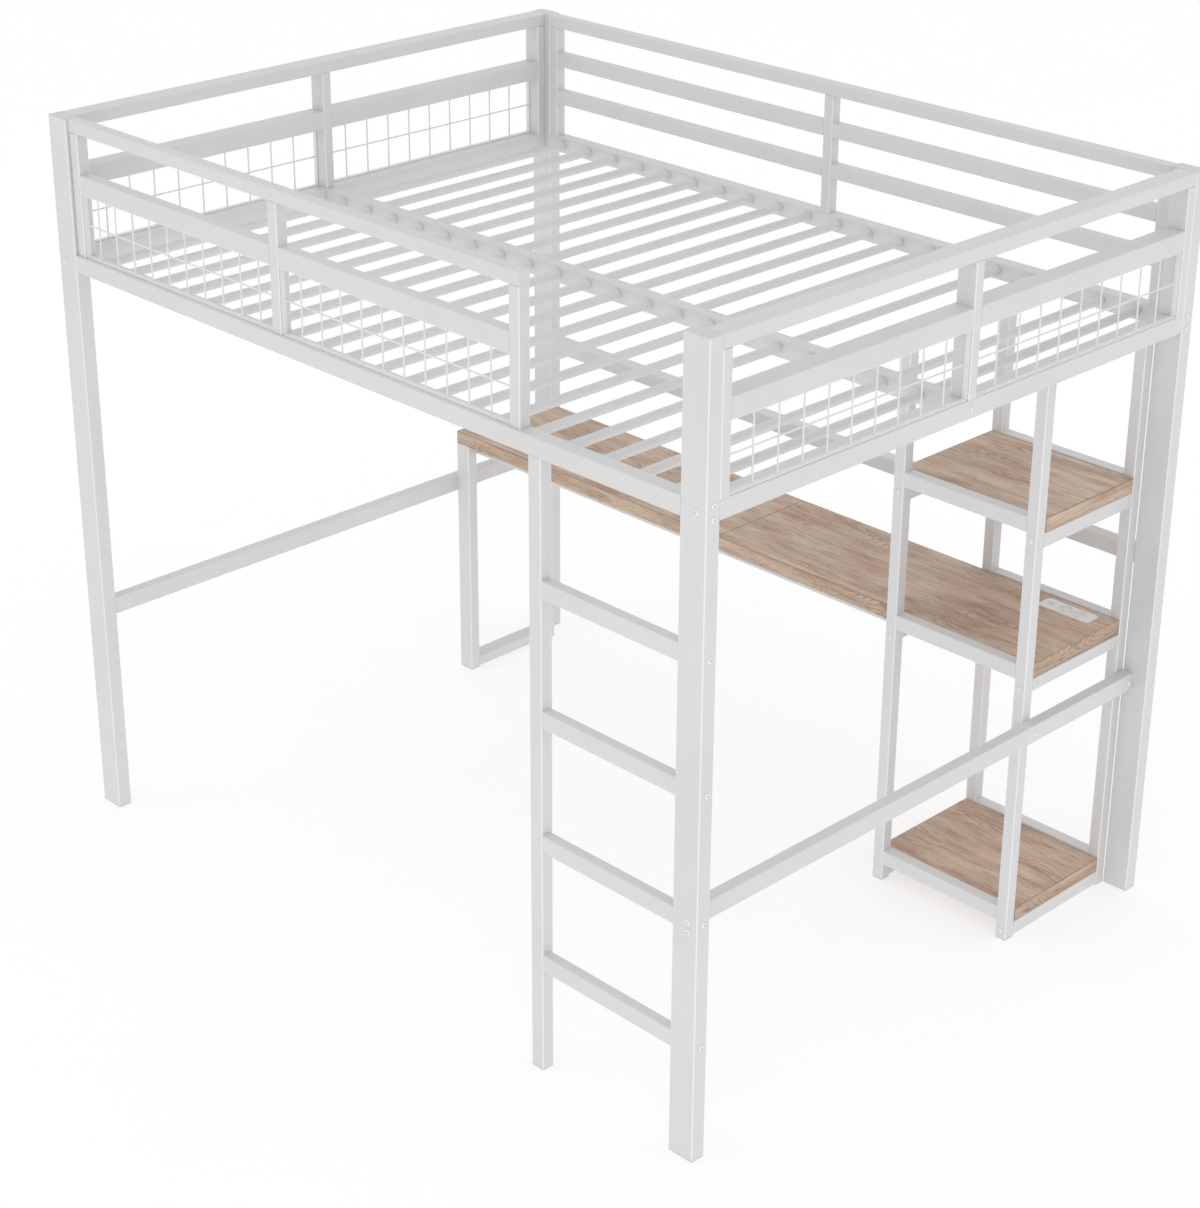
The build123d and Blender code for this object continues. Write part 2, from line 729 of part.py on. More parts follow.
def outlet_sockets():
    """Round socket inserts with two blade slots and an earth hole each."""
    top = DESK_TOP + OUTLET_RISE - SOCKET_SINK
    bottom = DESK_TOP - SOCKET_DEPTH
    depth = (top - CONTACT_DEPTH, top)
    blade_y = around(mid(OUTLET_Y) + BLADE_RISE, BLADE_SIZE[1])
    inserts = []
    for socket_x in SOCKET_X:
        insert = rod((socket_x, mid(OUTLET_Y), bottom), (0, 0, 1), top - bottom, SOCKET_RADIUS)
        for offset in (-BLADE_OFFSET, BLADE_OFFSET):
            insert = insert - block(around(socket_x + offset, BLADE_SIZE[0]), blade_y, depth)
        earth = (socket_x, mid(OUTLET_Y) - EARTH_DROP, top)
        inserts.append(insert - rod(earth, (0, 0, -1), CONTACT_DEPTH, EARTH_RADIUS))
    return inserts


def outlet_charging_ports():
    """Insert with two small flat charging ports, each with its tongue."""
    top = DESK_TOP + OUTLET_RISE - PORT_SINK
    bottom = top - PORT_DEPTH
    insert = block(USB_X, USB_Y, (DESK_TOP - PORT_BODY, top))
    for offset in (-PORT_OFFSET, PORT_OFFSET):
        y = mid(USB_Y) + offset
        port = block(around(mid(USB_X), PORT_SIZE[0]), around(y, PORT_SIZE[1]), (bottom, top))
        tongue_z = (bottom, top - TONGUE_SINK)
        tongue = block(around(mid(USB_X), TONGUE_SIZE[0]), around(y, TONGUE_SIZE[1]), tongue_z)
        insert = insert - (port - tongue)
    return insert


def outlet_cord_inlet():
    """Short ribbed inlet for the outlet's cord, under its housing."""
    centre = (mid(USB_X), mid(OUTLET_Y), OUTLET_BOTTOM)
    inlet = rod(centre, (0, 0, -1), GLAND_LENGTH, GLAND_RADIUS)
    inlet = inlet + rod(centre, (0, 0, -1), GLAND_FLANGE, GLAND_RADIUS + GLAND_FLANGE)
    return inlet - rod(centre, (0, 0, -1), GLAND_LENGTH, GLAND_RADIUS - GLAND_WALL)


def board_screws():
    """Pan-head screws, head against the underside of a tube and point inside a board."""
    made = []
    for x, y, low, high in screw_places():
        shank = rod((x, y, low), (0, 0, 1), high - low + SCREW_BITE, SCREW_RADIUS)
        head = rod((x, y, low), (0, 0, -1), SCREW_HEAD, SCREW_HEAD_RADIUS)
        made.append(shank + head)
    return made


def save(name, parts):
    """Write one node, made of one solid or of a list of separate solids."""
    solids = parts if isinstance(parts, list) else [parts]
    export_step(Compound(children=solids) if len(solids) > 1 else solids[0], f"parts/{name}.step")


os.makedirs("parts", exist_ok=True)

for name_y, side_y in (("front", -1), ("rear", 1)):
    for name_x, side_x in (("left", -1), ("right", 1)):
        save(f"post_{name_y}_{name_x}", post(side_x, side_y))
    save(f"side_rail_{name_y}", side_rail(side_y))
    save(f"slats_{name_y}", slat_row(side_y))

for name_x, side_x in (("left", -1), ("right", 1)):
    save(f"end_rail_{name_x}", end_rail(side_x))
    save(f"guard_top_rail_{name_x}", end_top_rail(side_x))
    save(f"guard_mid_rails_{name_x}", end_mid_rails(side_x))
    save(f"guard_uprights_{name_x}", end_uprights(side_x))
    save(f"guard_mesh_{name_x}", end_mesh_panels(side_x))
    save(f"lower_rail_{name_x}", lower_rail(side_x))
    save(f"desk_board_{name_x}", desk_board(side_x))

save("tube_top_caps", tube_top_caps())
save("foot_glides", foot_glides())
save("centre_beam", centre_beam())
save("rail_end_plugs", rail_end_plugs())
save("slat_end_plugs", slat_end_plugs())
save("guard_top_rail_front", front_top_rail())
save("guard_top_rail_rear", rear_top_rail())
save("guard_mid_rails_front", front_mid_rails())
save("guard_bars_rear", rear_bars())
save("guard_uprights_front", front_uprights())
save("guard_uprights_rear", rear_uprights())
save("guard_mesh_front", front_mesh_panels())
save("rail_brackets", rail_brackets())
save("rear_brace_rail", rear_brace_rail())
save("ladder_stile", ladder_stile())
save("ladder_rungs", ladder_rungs())
save("desk_board_dowels", desk_board_dowels())
save("desk_bearer_front", desk_bearer(BEARER_FRONT))
save("desk_bearer_rear", desk_bearer(BEARER_BACK))
save("desk_leg_front", desk_leg(LEG_FRONT))
save("desk_leg_rear", desk_leg(LEG_BACK - SQUARE))
save("desk_leg_cross_tubes", desk_leg_cross_tubes())
save("shelf_posts_front", shelf_posts(0))
save("shelf_posts_rear", shelf_posts(1))
save("shelf_rails_front", shelf_rails(0))
save("shelf_rails_rear", shelf_rails(1))
save("shelf_side_rails", shelf_side_rails())
save("shelf_side_plugs", shelf_side_plugs())
save("shelf_board_bottom", shelf_board(SHELF_BOARD_Z[0]))
save("shelf_board_top", shelf_board(SHELF_BOARD_Z[1]))
save("outlet_housing", outlet_housing())
save("outlet_face", outlet_face())
save("outlet_sockets", outlet_sockets())
save("outlet_charging_ports", outlet_charging_ports())
save("outlet_cord_inlet", outlet_cord_inlet())
save("frame_bolts", bolts(frame_bolt_places()))
save("furniture_bolts", bolts(furniture_bolt_places()))
save("board_screws", board_screws())
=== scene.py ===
import bpy
import math
import numpy as np
from mathutils import Matrix, Vector
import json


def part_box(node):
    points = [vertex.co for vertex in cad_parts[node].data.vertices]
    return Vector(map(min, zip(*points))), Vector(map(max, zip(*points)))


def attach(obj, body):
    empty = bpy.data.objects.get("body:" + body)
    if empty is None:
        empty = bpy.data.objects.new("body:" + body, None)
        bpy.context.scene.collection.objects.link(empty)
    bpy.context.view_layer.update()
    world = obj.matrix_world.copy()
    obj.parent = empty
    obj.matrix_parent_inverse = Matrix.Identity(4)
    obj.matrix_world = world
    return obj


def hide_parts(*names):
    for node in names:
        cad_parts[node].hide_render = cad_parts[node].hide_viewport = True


# Loft bed with desk. Metres, X along the bed, -Y the ladder side, Z up.
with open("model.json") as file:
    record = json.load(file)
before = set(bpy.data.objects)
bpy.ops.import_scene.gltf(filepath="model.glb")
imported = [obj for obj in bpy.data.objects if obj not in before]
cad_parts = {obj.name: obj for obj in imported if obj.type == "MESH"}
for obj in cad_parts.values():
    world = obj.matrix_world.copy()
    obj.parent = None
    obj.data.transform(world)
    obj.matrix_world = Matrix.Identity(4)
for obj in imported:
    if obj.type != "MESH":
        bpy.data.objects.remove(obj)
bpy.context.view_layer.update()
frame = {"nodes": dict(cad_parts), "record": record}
nodes = frame["nodes"]
print("frame loaded:", len(nodes), "nodes")


def plug(tree, socket, value):
    # a socket takes a link, a number or a colour
    if isinstance(value, bpy.types.NodeSocket):
        tree.links.new(value, socket)
    elif isinstance(value, (tuple, list)):
        needsAlpha = len(value) == 3 and len(socket.default_value) == 4
        socket.default_value = tuple(value) + ((1.0,) if needsAlpha else ())
    else:
        socket.default_value = value


def plugAll(tree, sockets, values):
    for socket, value in zip(sockets, values):
        plug(tree, socket, value)


def mixColor(tree, factor, low, high):
    # colour = low where factor is 0 and high where it is 1
    node = tree.nodes.new("ShaderNodeMix")
    node.data_type = "RGBA"
    node.clamp_factor = True
    plugAll(tree, (node.inputs[0], node.inputs[6], node.inputs[7]), (factor, low, high))
    return node.outputs[2]


def calculate(tree, operation, *values):
    # one Math node
    node = tree.nodes.new("ShaderNodeMath")
    node.operation = operation
    plugAll(tree, node.inputs, values)
    return node.outputs[0]


def calculateVector(tree, operation, *values):
    # one Vector Math node
    node = tree.nodes.new("ShaderNodeVectorMath")
    node.operation = operation
    plugAll(tree, node.inputs, values)
    return node.outputs[0]


def ramp(tree, factor, lowEdge, highEdge, lowValue=0.0, highValue=1.0):
    # straight ramp, level outside its two edges
    node = tree.nodes.new("ShaderNodeMapRange")
    node.clamp = True
    plugAll(tree, node.inputs, (factor, lowEdge, highEdge, lowValue, highValue))
    return node.outputs[0]


def noise(tree, vector, scale, detail, roughness):
    node = tree.nodes.new("ShaderNodeTexNoise")
    sockets = [node.inputs[name] for name in ("Vector", "Scale", "Detail", "Roughness")]
    plugAll(tree, sockets, (vector, scale, detail, roughness))
    return node.outputs[0]


def bump(tree, height, strength, distance):
    node = tree.nodes.new("ShaderNodeBump")
    sockets = [node.inputs[name] for name in ("Height", "Strength", "Distance")]
    plugAll(tree, sockets, (height, strength, distance))
    return node.outputs[0]


def splitAxes(tree, vector):
    node = tree.nodes.new("ShaderNodeSeparateXYZ")
    plug(tree, node.inputs[0], vector)
    return node.outputs[0], node.outputs[1], node.outputs[2]


def newMaterial(name, settings):
    # a material with one Principled shader, whose constants are set on its own sockets
    material = bpy.data.materials.new(name)
    material.use_nodes = True
    tree = material.node_tree
    shader = tree.nodes["Principled BSDF"]
    for socketName, value in settings.items():
        plug(tree, shader.inputs[socketName], value)
    place = tree.nodes.new("ShaderNodeTexCoord").outputs["Object"]
    return material, tree, shader, place


# White powder coat: even tone with slight clouding, a fine orange-peel skin, and a painted highlight on the
# eased edges.
# Noises are (scale, detail, roughness), ramps (low edge, high edge, low value, high value)
powderCoat = {
    "shader": {"IOR": 1.5, "Coat Weight": 0.12, "Coat Roughness": 0.18},
    "tone": (0.715, 0.715, 0.717),
    "cloudTone": (0.690, 0.690, 0.691),
    "edgeTone": (0.930, 0.930, 0.930),
    "cloud": (3.2, 3.0, 0.55),
    "cloudRamp": (0.35, 0.68),
    "speck": (315.0, 2.0, 0.6),
    "speckRamp": (0.62, 0.78, 0.0, 0.35),
    "glossRamp": (0.3, 0.7, 0.34, 0.44),
    "peel": (900.0, 2.0, 0.5),
    "peelStrength": 0.35,
    "peelDepth": 0.00006,
}


def makePowderCoat(name, choice):
    material, tree, shader, place = newMaterial(name, choice["shader"])
    cloud = noise(tree, place, *choice["cloud"])
    speck = noise(tree, place, *choice["speck"])
    peel = noise(tree, place, *choice["peel"])
    # painted highlight: each vertex's highlight amount, read from the mesh
    highlightLayer = tree.nodes.new("ShaderNodeAttribute")
    highlightLayer.attribute_name = "easedEdge"
    tone = mixColor(tree, ramp(tree, cloud, *choice["cloudRamp"]), choice["tone"], choice["cloudTone"])
    tone = mixColor(tree, ramp(tree, speck, *choice["speckRamp"]), tone, choice["cloudTone"])
    # the pale tone is a painted highlight on the eased edges, standing in for light caught there
    tone = mixColor(tree, highlightLayer.outputs["Fac"], tone, choice["edgeTone"])
    plug(tree, shader.inputs["Base Color"], tone)
    plug(tree, shader.inputs["Roughness"], ramp(tree, speck, *choice["glossRamp"]))
    plug(tree, shader.inputs["Normal"], bump(tree, peel, choice["peelStrength"], choice["peelDepth"]))
    return material


# Oak-look laminate: the broad faces, and the warmer bands glued to the edges. rings is how strongly growth
# rings show and swirl how far they wander
oakLook = {
    "shader": {"IOR": 1.45},
    "face": {
        "pale": (0.680, 0.540, 0.425),
        "middle": (0.490, 0.338, 0.248),
        "dark": (0.240, 0.128, 0.086),
        "rings": 0.60,
        "swirl": 1.0,
        "seed": 2.0,
    },
    "band": {
        "pale": (0.626, 0.483, 0.368),
        "middle": (0.478, 0.340, 0.244),
        "dark": (0.225, 0.128, 0.083),
        "rings": 0.72,
        "swirl": 1.5,
        "seed": 31.0,
    },
    "boardShift": 0.37,
    "flatAbove": 0.9,
    "seamShare": 0.5,
    "glossRamp": (0.4, 0.75, 0.46, 0.62),
    "poreRelief": 0.7,
    "streakRelief": 0.3,
    "reliefStrength": 0.25,
    "reliefDepth": 0.00012,
}

# counts per metre along and across the grain, shift of the seed, detail and roughness of the noise
grainFields = {
    "broad": (4.5, 30.0, 0.0, 3.0, 0.6),
    "blush": (2.6, 14.0, 40.0, 2.0, 0.5),
    "figure": (6.0, 19.0, 4.0, 1.0, 0.4),
    "patch": (3.6, 13.0, 9.0, 1.5, 0.5),
    "streak": (13.0, 165.0, 13.0, 4.0, 0.66),
    "pore": (70.0, 800.0, 17.0, 3.0, 0.6),
    "fleck": (260.0, 190.0, 21.0, 2.0, 0.5),
    "warp": (16.0, 60.0, 25.0, 2.0, 0.5),
}

growthRings = {
    "perMetre": 105.0,
    "sharpness": 1.8,
    "figureShare": 10.0,
    "knotShare": 2.6,
    "streakShare": 1.0,
    "warpShare": 1.2,
    "shownRamp": (0.46, 0.60),
}

knots = {
    "perMetre": (4.2, 9.5),
    "seedShift": 2.5,
    "bend": 0.035,
    "reachRamp": (0.03, 0.27, 1.0, 0.0),
    "shownRamp": (0.05, 0.6),
}

# which pattern brings in which tone, in order
grainTones = (
    ("broad", (0.36, 0.60, 0.0, 1.0), "pale"),
    ("blush", (0.50, 0.68, 0.0, 0.55), "middle"),
    ("streak", (0.50, 0.62, 0.0, 0.60), "pale"),
    ("streak", (0.30, 0.46, 0.62, 0.0), "dark"),
    ("ring", (0.0, 1.0, 0.0, 1.0), "dark"),
    ("knot", (0.40, 1.0, 0.0, 0.55), "dark"),
    ("pore", (0.56, 0.70, 0.0, 0.45), "dark"),
    ("fleck", (0.58, 0.74, 0.0, 0.35), "pale"),
)


def drawnOut(tree, along, across, perAlong, perAcross, seed):
    # coordinates in counts per metre, so that noise runs out along the grain
    node = tree.nodes.new("ShaderNodeCombineXYZ")
    alongCount = calculate(tree, "MULTIPLY", along, perAlong)
    acrossCount = calculate(tree, "MULTIPLY", across, perAcross)
    plugAll(tree, node.inputs, (alongCount, acrossCount, seed))
    return node.outputs[0]


def grainPattern(tree, along, across, look):
    # growth rings = fraction of (across x count + figure + bulge round each knot + streak + warp), raised to
    # a power and shown in patches and round knots. Everything else is noise drawn out along the grain
    pattern = {}
    for name, (perAlong, perAcross, shift, detail, roughness) in grainFields.items():
        vector = drawnOut(tree, along, across, perAlong, perAcross, look["seed"] + shift)
        pattern[name] = noise(tree, vector, 1.0, detail, roughness)
    warp = calculate(tree, "SUBTRACT", pattern["warp"], 0.5)
    bent = calculate(tree, "ADD", across, calculate(tree, "MULTIPLY", warp, knots["bend"]))
    cell = tree.nodes.new("ShaderNodeTexVoronoi")
    vector = drawnOut(tree, along, bent, *knots["perMetre"], look["seed"] + knots["seedShift"])
    plug(tree, cell.inputs["Vector"], vector)
    plug(tree, cell.inputs["Scale"], 1.0)
    pattern["knot"] = ramp(tree, cell.outputs["Distance"], *knots["reachRamp"])
    phase = calculate(tree, "MULTIPLY", across, growthRings["perMetre"])
    parts = (
        (pattern["figure"], growthRings["figureShare"] * look["swirl"]),
        (pattern["knot"], growthRings["knotShare"]),
        (pattern["streak"], growthRings["streakShare"]),
        (warp, growthRings["warpShare"]),
    )
    for part, share in parts:
        phase = calculate(tree, "ADD", phase, calculate(tree, "MULTIPLY", part, share))
    ring = calculate(tree, "POWER", calculate(tree, "FRACT", phase), growthRings["sharpness"])
    inPatch = ramp(tree, pattern["patch"], *growthRings["shownRamp"])
    shown = calculate(tree, "MAXIMUM", inPatch, ramp(tree, pattern["knot"], *knots["shownRamp"]))
    ring = calculate(tree, "MULTIPLY", ring, shown)
    pattern["ring"] = calculate(tree, "MULTIPLY", ring, look["rings"])
    return pattern


def oakTone(tree, pattern, look):
    # the middle tone, into which each pattern in turn mixes its own
    tone = look["middle"]
    for name, edges, brought in grainTones:
        tone = mixColor(tree, ramp(tree, pattern[name], *edges), tone, look[brought])
    return tone


def makeOak(name, choice):
    # the faces' grain runs along X and each board's is shifted by its height; a band's runs along its edge
    material, tree, shader, place = newMaterial(name, choice["shader"])
    x, y, z = splitAxes(tree, place)
    normal = tree.nodes.new("ShaderNodeNewGeometry").outputs["Normal"]
    facing = splitAxes(tree, calculateVector(tree, "ABSOLUTE", normal))
    isEnd, isSide, isTop = [calculate(tree, "GREATER_THAN", part, choice["flatAbove"]) for part in facing]
    shifted = calculate(tree, "ADD", y, calculate(tree, "MULTIPLY", z, choice["boardShift"]))
    face = grainPattern(tree, x, shifted, choice["face"])
    alongSide = calculate(tree, "MULTIPLY", x, calculate(tree, "SUBTRACT", 1.0, isEnd))
    along = calculate(tree, "ADD", alongSide, calculate(tree, "MULTIPLY", y, isEnd))
    band = grainPattern(tree, along, z, choice["band"])
    bandTone = oakTone(tree, band, choice["band"])
    faceTone = oakTone(tree, face, choice["face"])
    tone = mixColor(tree, isTop, bandTone, faceTone)
    # the eased edge between a face and a band is neither, and is darker
    onFlat = calculate(tree, "MAXIMUM", isTop, calculate(tree, "MAXIMUM", isEnd, isSide))
    seam = calculate(tree, "MULTIPLY", calculate(tree, "SUBTRACT", 1.0, onFlat), choice["seamShare"])
    tone = mixColor(tree, seam, tone, choice["band"]["dark"])
    plug(tree, shader.inputs["Base Color"], tone)
    plug(tree, shader.inputs["Roughness"], ramp(tree, face["pore"], *choice["glossRamp"]))
    poreRelief = calculate(tree, "MULTIPLY", face["pore"], choice["poreRelief"])
    streakRelief = calculate(tree, "MULTIPLY", face["streak"], choice["streakRelief"])
    relief = calculate(tree, "ADD", poreRelief, streakRelief)
    plug(tree, shader.inputs["Normal"], bump(tree, relief, choice["reliefStrength"], choice["reliefDepth"]))
    return material


# moulded plastic: even, with faint flow clouding and a fine moulded grain
mouldedPlastic = {
    "shader": {"IOR": 1.49, "Coat Weight": 0.08, "Coat Roughness": 0.12},
    "outlet": {"pale": (0.87, 0.87, 0.865), "clouded": (0.83, 0.83, 0.825), "gloss": (0.22, 0.32)},
    "fitting": {"pale": (0.70, 0.70, 0.695), "clouded": (0.655, 0.655, 0.65), "gloss": (0.42, 0.55)},
    "cloud": (46.0, 2.0, 0.5),
    "cloudRamp": (0.35, 0.7),
    "grain": (1900.0, 1.0, 0.5),
    "grainRamp": (0.3, 0.7),
    "grainStrength": 0.2,
    "grainDepth": 0.00003,
}


def makePlastic(name, kind, choice):
    look = choice[kind]
    material, tree, shader, place = newMaterial(name, choice["shader"])
    cloud = noise(tree, place, *choice["cloud"])
    grain = noise(tree, place, *choice["grain"])
    tone = mixColor(tree, ramp(tree, cloud, *choice["cloudRamp"]), look["pale"], look["clouded"])
    plug(tree, shader.inputs["Base Color"], tone)
    plug(tree, shader.inputs["Roughness"], ramp(tree, grain, *choice["grainRamp"], *look["gloss"]))
    plug(tree, shader.inputs["Normal"], bump(tree, grain, choice["grainStrength"], choice["grainDepth"]))
    return material


# plated or coated steel: mottled tone, and fine scratches of differing gloss, drawn out along X
steelFinish = {
    "zinc": {
        "pale": (0.60, 0.61, 0.62), "mottled": (0.48, 0.49, 0.50), "metallic": 0.9, "gloss": (0.30, 0.48),
    },
    "bolt": {
        "pale": (0.90, 0.90, 0.895), "mottled": (0.82, 0.82, 0.815), "metallic": 0.0, "gloss": (0.16, 0.26),
    },
    "ior": 1.5,
    "mottle": (210.0, 3.0, 0.6),
    "mottleRamp": (0.4, 0.7),
    "scratchPerMetre": (90.0, 1400.0, 1400.0),
    "scratch": (1.0, 2.0, 0.6),
    "scratchRamp": (0.35, 0.7),
    "scratchStrength": 0.15,
    "scratchDepth": 0.00003,
}


def makeSteel(name, kind, choice):
    look = choice[kind]
    material, tree, shader, place = newMaterial(name, {"IOR": choice["ior"], "Metallic": look["metallic"]})
    mottle = noise(tree, place, *choice["mottle"])
    drawn = calculateVector(tree, "MULTIPLY", place, choice["scratchPerMetre"])
    scratch = noise(tree, drawn, *choice["scratch"])
    tone = mixColor(tree, ramp(tree, mottle, *choice["mottleRamp"]), look["pale"], look["mottled"])
    plug(tree, shader.inputs["Base Color"], tone)
    plug(tree, shader.inputs["Roughness"], ramp(tree, scratch, *choice["scratchRamp"], *look["gloss"]))
    relief = bump(tree, scratch, choice["scratchStrength"], choice["scratchDepth"])
    plug(tree, shader.inputs["Normal"], relief)
    return material


finishes = {
    "white_metal": makePowderCoat("white powder coat", powderCoat),
    "oak_board": makeOak("oak look board", oakLook),
    "outlet_plastic": makePlastic("outlet plastic", "outlet", mouldedPlastic),
    "white_plastic": makePlastic("white fitting plastic", "fitting", mouldedPlastic),
    "bolt_steel": makeSteel("white coated steel", "bolt", steelFinish),
    "zinc_steel": makeSteel("zinc plated steel", "zinc", steelFinish),
}
finishes["dowel_wood"] = finishes["oak_board"]
slotOf = {part["node"]: part["material_slot"] for part in frame["record"]["subparts"]}
for nodeName, nodeObject in nodes.items():
    nodeObject.data.materials.clear()
    nodeObject.data.materials.append(finishes[slotOf[nodeName]])
print("finishes made:", len(finishes))

roundedTo = 6  # decimals of a metre, to find corners at one place
slack = 1e-6


def separateSolids(nodeName):
    # the separate shells of a CAD node: corners at one place are joined, then each triangle passes on its
    # lowest corner number until nothing changes. Inner shells, which lie inside another, are left out
    mesh = nodes[nodeName].data
    points = np.zeros(len(mesh.vertices) * 3)
    mesh.vertices.foreach_get("co", points)
    mesh.calc_loop_triangles()
    corners = np.zeros(len(mesh.loop_triangles) * 3, np.int64)
    mesh.loop_triangles.foreach_get("vertices", corners)
    rounded = np.round(points.reshape(-1, 3), roundedTo)
    places, index = np.unique(rounded, axis=0, return_inverse=True)
    triangles = index.ravel()[corners].reshape(-1, 3)
    label = np.arange(len(places))
    while True:
        lowest = label[triangles].min(axis=1)
        passed = label.copy()
        np.minimum.at(passed, triangles.ravel(), np.repeat(lowest, 3))
        if (passed == label).all():
            break
        label = passed
    groups = [places[label == value] for value in np.unique(label)]
    lows = np.array([group.min(axis=0) for group in groups])
    highs = np.array([group.max(axis=0) for group in groups])
    kept = []
    for number, group in enumerate(groups):
        holding = (lows <= lows[number] + slack).all(axis=1) & (highs >= highs[number] - slack).all(axis=1)
        if holding.sum() == 1:  # only itself
            kept.append(group)
    return kept


def gridFaces(rings, steps, endless=False):
    # four-sided faces between neighbouring rings of one closed outline. An endless run of rings joins up with
    # its start, and any other gets a face over each end
    ring, step = np.meshgrid(np.arange(rings if endless else rings - 1), np.arange(steps), indexing="ij")
    here = ring * steps
    after = (ring + 1) % rings * steps
    beside = (step + 1) % steps
    walls = np.stack([here + step, here + beside, after + beside, after + step], axis=-1).reshape(-1, 4)
    if endless:
        return [walls]
    ends = np.array([np.arange(steps)[::-1], np.arange(steps) + (rings - 1) * steps])
    return [walls, ends]


def joined(shells):
    # several shells, each (points, blocks of faces, normals, painted highlight amount), in one
    blocks = []
    start = 0
    for shell in shells:
        blocks += [block + start for block in shell[1]]
        start += len(shell[0])
    points, normals, highlightAmount = [np.concatenate([shell[part] for shell in shells]) for part in (0, 2, 3)]
    return points, blocks, normals, highlightAmount


def addPiece(name, shell, finish, replaced):
    # a mesh object at the origin, with the shading normals that its formula gives
    points, blocks, normals, highlightAmount = shell
    faces = [face for block in blocks for face in block.tolist()]
    mesh = bpy.data.meshes.new(name)
    mesh.from_pydata(points.tolist(), [], faces)
    mesh.polygons.foreach_set("use_smooth", np.ones(len(mesh.polygons), bool))
    mesh.update()
    # stores the painted highlight amount on each vertex
    highlightLayer = mesh.attributes.new("easedEdge", "FLOAT", "POINT")
    highlightLayer.data.foreach_set("value", highlightAmount.astype(np.float32))
    mesh.normals_split_custom_set_from_vertices(normals.tolist())
    mesh.materials.append(finishes[finish])
    piece = bpy.data.objects.new(name, mesh)
    bpy.context.scene.collection.objects.link(piece)
    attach(piece, "root")
    if replaced:
        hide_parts(*replaced)


def plainName(nodeName):
    words = nodeName.split("_")
    return words[0] + "".join(word.capitalize() for word in words[1:])


def roundedBar(low, high, style):
    # outline = rectangle with corner arcs, carried along the bar's long axis; near each end it draws in on a
    # quarter circle, so that the ends are eased too. Painted edge highlight = sine of twice the angle round a
    # corner, faded towards the ends and scaled by the bar's highlight strength for its axis
    axis = int(np.argmax(high - low))
    side = (axis + 1) % 3
    other = (axis + 2) % 3
    angle = np.linspace(0, math.pi / 2, style["cornerSteps"] + 1)
    turn = np.concatenate([angle + quarter * math.pi / 2 for quarter in range(4)])
    signs = np.repeat(np.array([[1, 1], [-1, 1], [-1, -1], [1, -1]]), len(angle), axis=0)
    half = np.array([high[side] - low[side], high[other] - low[other]]) / 2
    centre = signs * (half - style["corner"])
    across = np.stack([np.cos(turn), np.sin(turn)], axis=-1)
    swing = np.linspace(0, math.pi / 2, style["endSteps"] + 1)
    inset = style["endEdge"] * (1 - np.sin(swing))
    drawn = style["endEdge"] * (1 - np.cos(swing))
    drawIn = np.concatenate([inset, inset[::-1]])
    place = np.concatenate([low[axis] + drawn, high[axis] - drawn[::-1]])
    tilt = np.concatenate([-np.cos(swing), np.cos(swing[::-1])])
    level = np.sqrt(1 - tilt**2)
    outline = centre[None] + across[None] * (style["corner"] - drawIn)[:, None, None]
    points = np.zeros(outline.shape[:2] + (3,))
    points[..., side] = outline[..., 0] + (high[side] + low[side]) / 2
    points[..., other] = outline[..., 1] + (high[other] + low[other]) / 2
    points[..., axis] = place[:, None]
    normals = np.zeros_like(points)
    normals[..., side] = across[None, :, 0] * level[:, None]
    normals[..., other] = across[None, :, 1] * level[:, None]
    normals[..., axis] = tilt[:, None]
    paleness = style["paleness"][axis]
    # painted edge highlight, strongest in the middle of each corner arc
    highlightAmount = np.sin(2 * np.tile(angle, 4))[None] * level[:, None] * paleness
    return points.reshape(-1, 3), gridFaces(len(place), len(turn)), normals.reshape(-1, 3), highlightAmount.ravel()


def turned(start, direction, stations, radii, tilts, steps, flats=None):
    # a turned shape: radius as a function of the distance along an axis and of the angle round it.
    # flats marks the rings that are hexagons, radius = reach / cosine of the angle from the middle of a flat
    start = np.array(start, float)
    direction = np.array(direction, float)
    spare = np.eye(3)[(int(np.argmax(np.abs(direction))) + 1) % 3]
    side = np.cross(direction, spare)
    other = np.cross(direction, side)
    angle = np.arange(steps) * 2 * math.pi / steps
    radius = np.repeat(np.array(radii, float)[:, None], steps, axis=1)
    if flats is not None:
        sixth = math.pi / 3
        hexagon = 1 / np.cos((angle + sixth / 2) % sixth - sixth / 2)
        radius = np.where(np.array(flats)[:, None], radius * hexagon[None], radius)
    spokes = np.cos(angle)[:, None] * side + np.sin(angle)[:, None] * other
    stations = np.array(stations, float)
    points = start + stations[:, None, None] * direction + radius[..., None] * spokes[None]
    tilts = np.array(tilts, float)
    normals = np.sqrt(1 - tilts**2)[:, None, None] * spokes[None] + tilts[:, None, None] * direction
    faces = gridFaces(len(stations), steps)
    return points.reshape(-1, 3), faces, normals.reshape(-1, 3), np.zeros(radius.size)


# frame tubes. A painted highlight on the eased long edges, stronger on upright tubes than on level ones (X,
# Y, Z)
tubes = {"corner": 0.0025, "endEdge": 0.0006, "cornerSteps": 4, "endSteps": 3, "paleness": (0.12, 0.12, 1.0)}
tubeNodes = [
    name for name in sorted(nodes)
    if slotOf[name] == "white_metal" and not name.startswith(("guard_mesh", "slats"))
]
for nodeName in tubeNodes:
    bars = [roundedBar(cloud.min(axis=0), cloud.max(axis=0), tubes) for cloud in separateSolids(nodeName)]
    addPiece(plainName(nodeName), joined(bars), "white_metal", [nodeName])
print("frame tubes:", len(tubeNodes))

slats = {"ease": 0.0016, "easeSteps": 4, "steps": 32}


